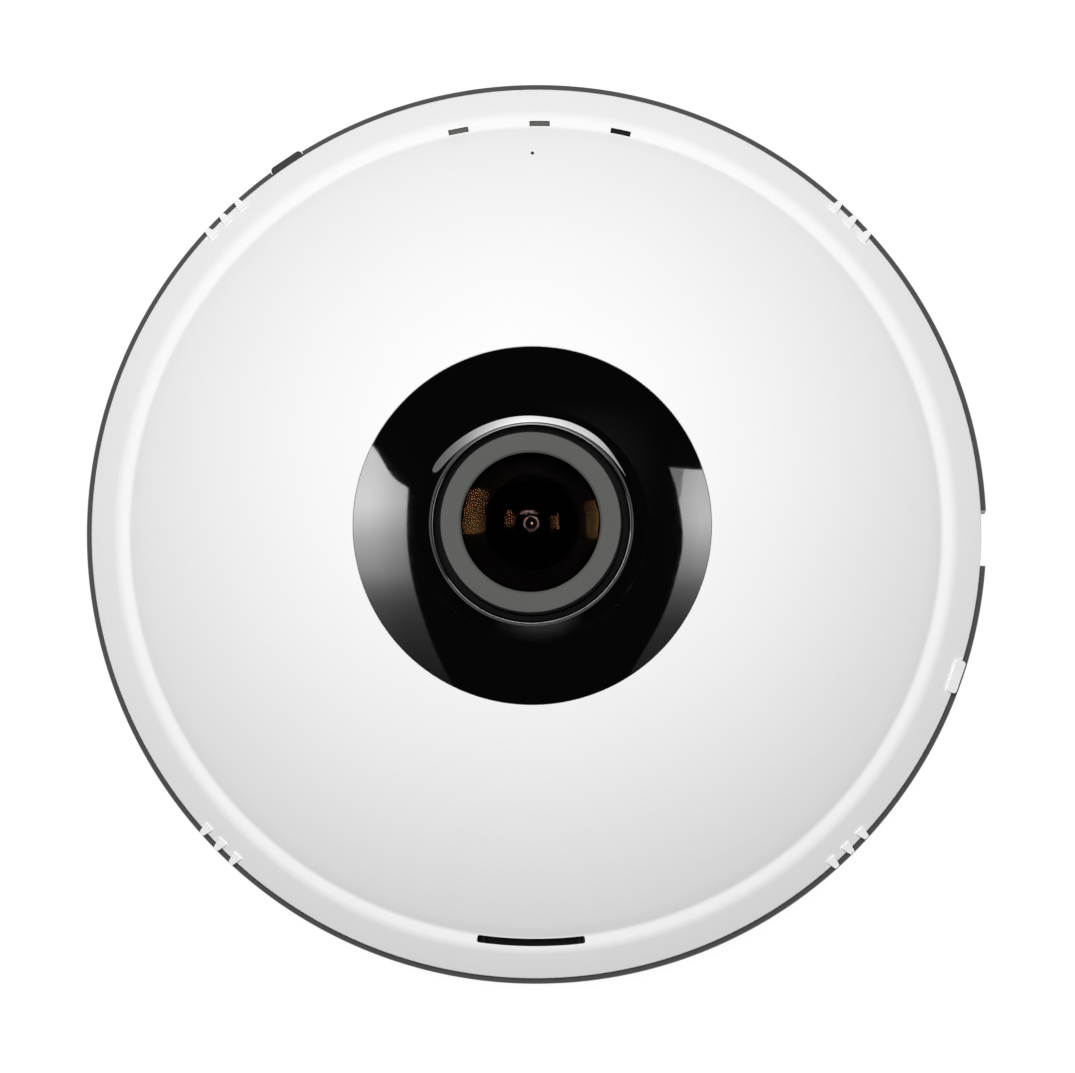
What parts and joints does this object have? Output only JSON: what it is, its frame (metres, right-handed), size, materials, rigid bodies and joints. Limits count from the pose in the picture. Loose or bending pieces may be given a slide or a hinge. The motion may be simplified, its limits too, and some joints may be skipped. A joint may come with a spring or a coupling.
{
  "type": "fisheye ip camera",
  "caption": "Round ceiling camera with a domed white cover, a fisheye lens in a black collar, a side button and a twist-on mounting bracket.",
  "frame": {"origin": "centre of the bracket's mounting face, on the lens axis", "axes": "+Z along the lens axis, from the ceiling into the room; +X towards the cable notch; +Y towards the status windows"},
  "size_m": [0.1299, 0.13, 0.0391],
  "materials": {
    "bracket_plastic": "fine texture",
    "housing_plastic": "fine texture",
    "cover_plastic": "satin",
    "collar_plastic": "polished",
    "lens_metal": "satin",
    "ring_metal": "fine blasted, dark anodised",
    "lens_glass": "polished, coated",
    "filter_glass": "polished, coated",
    "black_plastic": "moulded",
    "black_rubber": "matte",
    "circuit_board": "solder mask",
    "chip_package": "moulded",
    "sensor_package": "polished",
    "thermal_pad": "matte",
    "heat_sink": "extruded",
    "shield_steel": "satin",
    "brass": "bright",
    "jack_plastic": "moulded",
    "connector_plastic": "moulded",
    "capacitor_can": "sleeved",
    "key_plastic": "satin",
    "plunger_plastic": "moulded",
    "led_package": "clear",
    "light_guide": "smoked, diffusing",
    "speaker_frame": "satin",
    "speaker_cone": "pressed",
    "wire_insulation": "smooth"
  },
  "bodies": {
    "bracket": {"mounting_bracket": "bracket_plastic"},
    "camera": {"rear_housing": "housing_plastic", "port_bay": "housing_plastic", "front_cover": "cover_plastic", "lens_collar": "collar_plastic", "lens_barrel": "lens_metal", "lens_lock_ring": "lens_metal", "lens_retaining_ring": "ring_metal", "front_lens_element": "lens_glass", "second_lens_element": "lens_glass", "third_lens_element": "lens_glass", "rear_lens_group": "lens_glass", "ir_filter": "filter_glass", "lens_spacer_ring": "black_plastic", "aperture_stop": "black_plastic", "lens_holder": "black_plastic", "speaker_box": "black_plastic", "side_switch": "black_plastic", "reset_switch": "black_plastic", "lens_gasket": "black_rubber", "microphone_boot": "black_rubber", "main_board": "circuit_board", "sensor_board": "circuit_board", "wifi_antenna": "circuit_board", "processor": "chip_package", "memory_chips": "chip_package", "ethernet_transformer": "chip_package", "power_inductor": "chip_package", "image_sensor": "sensor_package", "thermal_pad": "thermal_pad", "heat_sink": "heat_sink", "wifi_module": "shield_steel", "microphone": "shield_steel", "card_socket": "shield_steel", "cover_screws": "shield_steel", "board_screws": "shield_steel", "sensor_board_screws": "shield_steel", "lens_holder_screws": "shield_steel", "power_jack_pin": "shield_steel", "sensor_board_standoffs": "brass", "ethernet_contacts": "brass", "ethernet_jack": "jack_plastic", "power_jack": "jack_plastic", "board_connector": "connector_plastic", "capacitors": "capacitor_can", "status_leds": "led_package", "light_guides": "light_guide", "speaker": "speaker_frame", "speaker_diaphragm": "speaker_cone", "antenna_cable": "wire_insulation", "speaker_wires": "wire_insulation"},
    "side_button": {"side_button": "key_plastic", "side_switch_plunger": "plunger_plastic"},
    "reset_button": {"reset_button": "key_plastic", "reset_switch_plunger": "plunger_plastic"}
  },
  "joints": [
    {"name": "camera_twist", "type": "hinge", "parent": "bracket", "child": "camera", "pos_m": [0, 0, 0], "axis": [0, 0, 1], "range_deg": [0, 18]},
    {"name": "side_button_press", "type": "slide", "parent": "camera", "child": "side_button", "axis": [0.5577, -0.83, 0], "range_m": [0, 0.0005], "stiffness_N_per_m": 3000},
    {"name": "reset_button_press", "type": "slide", "parent": "camera", "child": "reset_button", "axis": [0.3231, -0.9464, 0], "range_m": [0, 0.0004], "stiffness_N_per_m": 4000}
  ]
}
